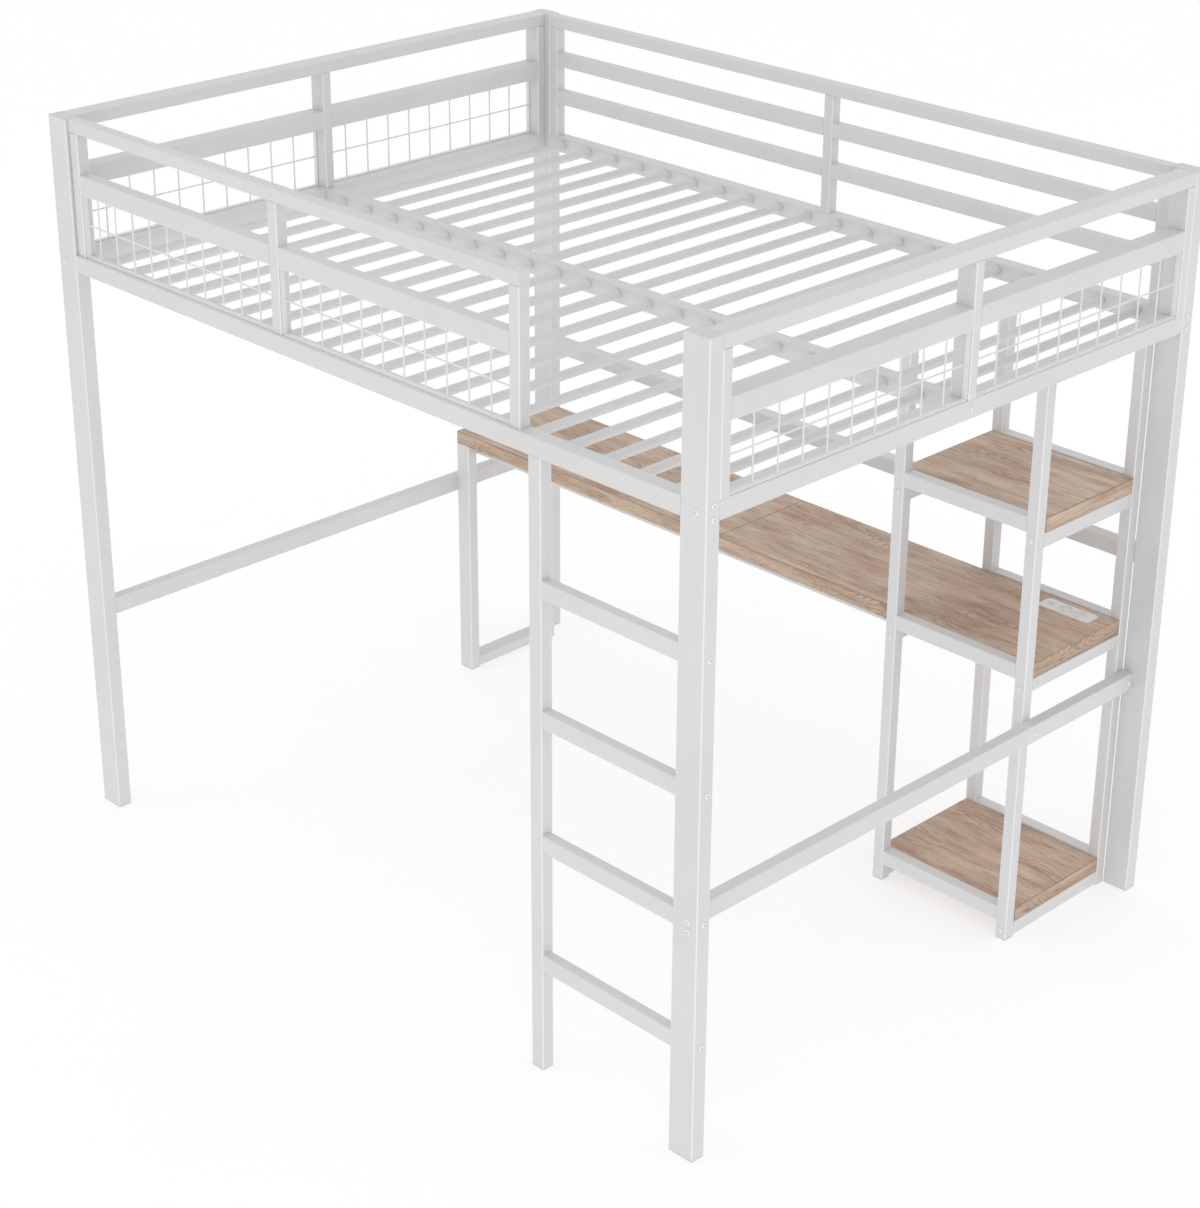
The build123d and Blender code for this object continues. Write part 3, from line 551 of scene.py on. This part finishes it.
def slatShell(cloud):
    # round tube along Y, its ends eased on a quarter circle
    low = cloud.min(axis=0)
    high = cloud.max(axis=0)
    radius = (high[0] - low[0]) / 2
    length = high[1] - low[1]
    swing = np.linspace(0, math.pi / 2, slats["easeSteps"])
    drawn = slats["ease"] * (1 - np.cos(swing))
    inset = slats["ease"] * (1 - np.sin(swing))
    stations = np.concatenate([drawn, length - drawn[::-1]])
    radii = radius - np.concatenate([inset, inset[::-1]])
    tilts = np.concatenate([-np.cos(swing), np.cos(swing[::-1])])
    start = ((low[0] + high[0]) / 2, low[1], (low[2] + high[2]) / 2)
    return turned(start, (0, 1, 0), stations, radii, tilts, slats["steps"])


for nodeName in ("slats_front", "slats_rear"):
    shells = [slatShell(cloud) for cloud in separateSolids(nodeName)]
    addPiece(plainName(nodeName), joined(shells), "white_metal", [nodeName])
print("slats made")

# guard mesh: thin flat strips round each bay, upright wires at an even pitch, one level wire behind them
guardMesh = {
    "strip": 0.0035,
    "wire": 0.004,
    "wireSteps": 12,
    "levelOffset": 0.0034,
    "levelHeight": 1.615,
    "endPitch": 0.073,
    "endWires": 9,
    "frontPitch": 0.069,
    "frontWires": 10,
    "weld": 0.0029,
    "weldSwing": 1.25,
    "weldRings": 7,
    "weldSteps": 10,
    "paleness": 0.5,
}
meshStrip = {"corner": 0.0008, "endEdge": 0.0004, "cornerSteps": 2, "endSteps": 2, "paleness": (0, 0, 0)}


def wireRod(start, end):
    # thin round wire, its ends let into the strips
    length = float(np.linalg.norm(end - start))
    radius = guardMesh["wire"] / 2
    direction = (end - start) / length
    return turned(start, direction, (0, length), (radius, radius), (0.0, 0.0), guardMesh["wireSteps"])


def weldBead(centre):
    # small ball with flat ends where two wires cross: radius = cosine, height = sine of one swing
    swing = np.linspace(-guardMesh["weldSwing"], guardMesh["weldSwing"], guardMesh["weldRings"])
    height = guardMesh["weld"] * np.sin(swing)
    radius = guardMesh["weld"] * np.cos(swing)
    return turned(centre, (0, 0, 1), height, radius, np.sin(swing), guardMesh["weldSteps"])


def edgeStrips(low, high, run):
    # strips along the lower and upper edge, and upright ones between them at both sides
    strip = guardMesh["strip"]
    shells = []
    for axis, across in ((run, 2), (2, run)):
        for isHigh in (False, True):
            barLow = low.copy()
            barHigh = high.copy()
            if isHigh:
                barLow[across] = high[across] - strip
            else:
                barHigh[across] = low[across] + strip
            if axis == 2:
                barLow[2] += strip
                barHigh[2] -= strip
            shells.append(roundedBar(barLow, barHigh, meshStrip))
    return shells


def meshPanel(cloud, pitch, wires):
    low = cloud.min(axis=0)
    high = cloud.max(axis=0)
    run = 0 if high[0] - low[0] > high[1] - low[1] else 1
    depth = 1 - run
    middle = (low + high) / 2
    inward = -1.0 if middle[depth] > 0 else 1.0
    let = guardMesh["strip"] / 2  # how far wires reach into the strips
    shells = edgeStrips(low, high, run)
    for side in middle[run] + (np.arange(wires) - (wires - 1) / 2) * pitch:
        start = middle.copy()
        end = middle.copy()
        start[run] = end[run] = side
        start[2] = low[2] + let
        end[2] = high[2] - let
        shells.append(wireRod(start, end))
        crossing = start.copy()
        crossing[2] = guardMesh["levelHeight"]
        crossing[depth] += inward * guardMesh["levelOffset"] / 2
        shells.append(weldBead(crossing))
    start = middle.copy()
    end = middle.copy()
    start[2] = end[2] = guardMesh["levelHeight"]
    start[depth] = end[depth] = middle[depth] + inward * guardMesh["levelOffset"]
    start[run] = low[run] + let
    end[run] = high[run] - let
    shells.append(wireRod(start, end))
    return joined(shells)


for place, kind in (("front", "front"), ("left", "end"), ("right", "end")):
    nodeName = "guard_mesh_" + place
    pitch = guardMesh[kind + "Pitch"]
    wires = guardMesh[kind + "Wires"]
    panels = [meshPanel(cloud, pitch, wires) for cloud in separateSolids(nodeName)]
    points, blocks, normals, highlightAmount = joined(panels)
    # a painted highlight tone added over every wire, strip and bead of the mesh
    shell = (points, blocks, normals, highlightAmount + guardMesh["paleness"])
    addPiece(plainName(nodeName), shell, "white_metal", [nodeName])
print("guard mesh made")

# button head: a dome over a short rim, a hexagon socket with an eased mouth, and the shank below.
# Tilts are the sines of the shading normals' slope, from the shank's end up and from the mouth down
boltShape = {
    "reach": 0.0065,
    "height": 0.0036,
    "rim": 0.0005,
    "domeRings": 6,
    "socket": 0.0019,
    "depth": 0.0004,
    "mouth": 1.22,
    "mouthDepth": 0.0003,
    "shank": 0.003,
    "neck": 0.0002,
    "tiltsBelow": (0.0, 0.0, -0.9, -0.6),
    "tiltsInside": (0.95, 0.1, 0.5),
    "steps": 24,
    "endZone": 0.004,
}


def boltAxis(cloud):
    # a bolt lies along its longest side, and its head is at the wider end
    low = cloud.min(axis=0)
    high = cloud.max(axis=0)
    axis = int(np.argmax(high - low))
    middle = (low + high) / 2
    others = [index for index in range(3) if index != axis]
    spread = np.hypot(*(cloud[:, others] - middle[others]).T)
    nearHigh = cloud[:, axis] > high[axis] - boltShape["endZone"]
    nearLow = cloud[:, axis] < low[axis] + boltShape["endZone"]
    headHigh = spread[nearHigh].max() > spread[nearLow].max()
    seat = middle.copy()
    seat[axis] = high[axis] - boltShape["height"] if headHigh else low[axis] + boltShape["height"]
    direction = np.eye(3)[axis] * (1.0 if headHigh else -1.0)
    return seat, direction, high[axis] - low[axis] - boltShape["height"]


def boltShell(cloud):
    # radius and height as functions of one swing over the dome, with the shank before and the socket after
    seat, direction, length = boltAxis(cloud)
    shape = boltShape
    height = shape["height"]
    swing = np.linspace(0, 1, shape["domeRings"]) * math.pi / 2
    dome = height - shape["rim"]
    domeRadius = shape["reach"] - dome + dome * np.cos(swing)
    domeHeight = shape["rim"] + dome * np.sin(swing)
    shankStations = [-length, -shape["neck"], 0.0, 0.0]
    shankRadii = [shape["shank"], shape["shank"], shape["shank"], shape["reach"]]
    socketStations = [height, height - shape["mouthDepth"], height - shape["depth"]]
    socketRadii = [shape["socket"] * shape["mouth"], shape["socket"], shape["socket"]]
    stations = np.concatenate([shankStations, domeHeight, socketStations])
    radii = np.concatenate([shankRadii, domeRadius, socketRadii])
    tilts = np.concatenate([shape["tiltsBelow"], np.sin(swing), shape["tiltsInside"]])
    flats = np.arange(len(stations)) >= len(stations) - 2  # the two rings of the socket's wall
    return turned(seat, direction, stations, radii, tilts, shape["steps"], flats)


for nodeName in ("frame_bolts", "furniture_bolts"):
    shells = [boltShell(cloud) for cloud in separateSolids(nodeName)]
    addPiece(plainName(nodeName), joined(shells), "bolt_steel", [nodeName])
print("bolts made")

# raised rims round the outlet's two sockets
socketRim = {"reach": 0.0172, "half": 0.0014, "rise": 0.0024, "steps": 48, "sectionSteps": 12}
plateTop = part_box("outlet_face")[1][2]


def rimShell(cloud):
    # a flattened circle carried round a circle, at the level of the face plate
    low = cloud.min(axis=0)
    high = cloud.max(axis=0)
    centre = np.array([(low[0] + high[0]) / 2, (low[1] + high[1]) / 2, plateTop])
    steps = socketRim["steps"]
    sectionSteps = socketRim["sectionSteps"]
    turn = np.linspace(0, 2 * math.pi, steps, endpoint=False)
    swing = -np.linspace(0, 2 * math.pi, sectionSteps, endpoint=False)
    around, section = np.meshgrid(turn, swing, indexing="ij")
    reach = socketRim["reach"] + socketRim["half"] * np.cos(section)
    height = socketRim["rise"] * np.sin(section)
    points = centre + np.stack([reach * np.cos(around), reach * np.sin(around), height], axis=-1)
    level = np.cos(section)
    normals = np.stack([level * np.cos(around), level * np.sin(around), np.sin(section)], axis=-1)
    faces = gridFaces(steps, sectionSteps, True)
    return points.reshape(-1, 3), faces, normals.reshape(-1, 3), np.zeros(steps * sectionSteps)


rims = [rimShell(cloud) for cloud in separateSolids("outlet_sockets")]
addPiece("socketRims", joined(rims), "outlet_plastic", [])
print("outlet rims made")

cameraSet = {
    "place": (4.2361, -4.1842, 3.5354),
    "facing": (-0.65039, 0.63867, -0.41120),
    "roll": 0.288,
    "lens": 78.75,
    "sensor": 36.0,
    "shift": -0.05,
    "farthest": 200.0,
}


def placeCamera(choice):
    lens = bpy.data.cameras.new("camera")
    lens.lens = choice["lens"]
    lens.sensor_width = choice["sensor"]
    lens.shift_y = choice["shift"]
    lens.clip_end = choice["farthest"]
    camera = bpy.data.objects.new("camera", lens)
    bpy.context.scene.collection.objects.link(camera)
    turn = Vector(choice["facing"]).to_track_quat("-Z", "Y").to_matrix().to_4x4()
    roll = Matrix.Rotation(math.radians(choice["roll"]), 4, "Z")
    camera.matrix_world = Matrix.Translation(choice["place"]) @ turn @ roll
    bpy.context.scene.camera = camera


# a wide pale sheet, partly lit from itself so that shadows stay faint
floorSet = {
    "half": 60.0,
    "tone": (0.52, 0.52, 0.52),
    "dullTone": (0.5148, 0.5148, 0.5148),
    "cloud": (1.4, 2.0, 0.5),
    "glow": 0.56,
    "shader": {"Roughness": 0.9, "Specular IOR Level": 0.0, "Emission Color": (1.0, 1.0, 1.0)},
}


def makeFloor(choice):
    half = choice["half"]
    corners = [(-half, -half, 0), (half, -half, 0), (half, half, 0), (-half, half, 0)]
    mesh = bpy.data.meshes.new("floor")
    mesh.from_pydata(corners, [], [(0, 1, 2, 3)])
    material, tree, shader, place = newMaterial("pale floor", choice["shader"])
    cloud = noise(tree, place, *choice["cloud"])
    plug(tree, shader.inputs["Base Color"], mixColor(tree, cloud, choice["tone"], choice["dullTone"]))
    plug(tree, shader.inputs["Emission Strength"], choice["glow"])
    mesh.materials.append(material)
    floor = bpy.data.objects.new("floor", mesh)
    bpy.context.scene.collection.objects.link(floor)


# softboxes: bearing from the front, height above the floor, distance, size, power and the height aimed at
lightSet = {
    "front": {"bearing": 45, "height": 0.9, "distance": 7.0, "size": (2.4, 1.6), "power": 26, "aim": 0.9},
    "left": {"bearing": -38, "height": 4.6, "distance": 7.5, "size": (2.0, 1.4), "power": 16, "aim": 1.0},
    "right": {"bearing": 128, "height": 4.6, "distance": 7.5, "size": (2.0, 1.4), "power": 16, "aim": 1.0},
}


def placeLights(choices):
    for name, choice in choices.items():
        lamp = bpy.data.lights.new(name + " softbox", "AREA")
        lamp.shape = "RECTANGLE"
        lamp.size = choice["size"][0]
        lamp.size_y = choice["size"][1]
        lamp.energy = choice["power"]
        holder = bpy.data.objects.new(lamp.name, lamp)
        holder.visible_camera = False
        bpy.context.scene.collection.objects.link(holder)
        bearing = math.radians(choice["bearing"])
        place = Vector((math.sin(bearing), -math.cos(bearing), 0)) * choice["distance"]
        place.z = choice["height"]
        aim = Vector((0, 0, choice["aim"])) - place
        turn = aim.to_track_quat("-Z", "Y").to_matrix().to_4x4()
        holder.matrix_world = Matrix.Translation(place) @ turn


# what the sky gives as light, and how bright it looks behind the floor's edge
skySet = {"tone": (1.0, 1.0, 1.0), "glow": 0.84, "shown": 1.0}


def placeSky(choice):
    # strength = glow + (shown - glow) where the camera looks straight at it
    world = bpy.data.worlds.new("studio")
    world.use_nodes = True
    tree = world.node_tree
    background = tree.nodes["Background"]
    looked = tree.nodes.new("ShaderNodeLightPath").outputs["Is Camera Ray"]
    added = choice["shown"] - choice["glow"]
    plug(tree, background.inputs["Color"], choice["tone"])
    plug(tree, background.inputs["Strength"], calculate(tree, "MULTIPLY_ADD", looked, added, choice["glow"]))
    bpy.context.scene.world = world


placeCamera(cameraSet)
makeFloor(floorSet)
placeLights(lightSet)
placeSky(skySet)
bpy.context.scene.view_settings.view_transform = "Standard"
print("camera, floor, lights and sky set")
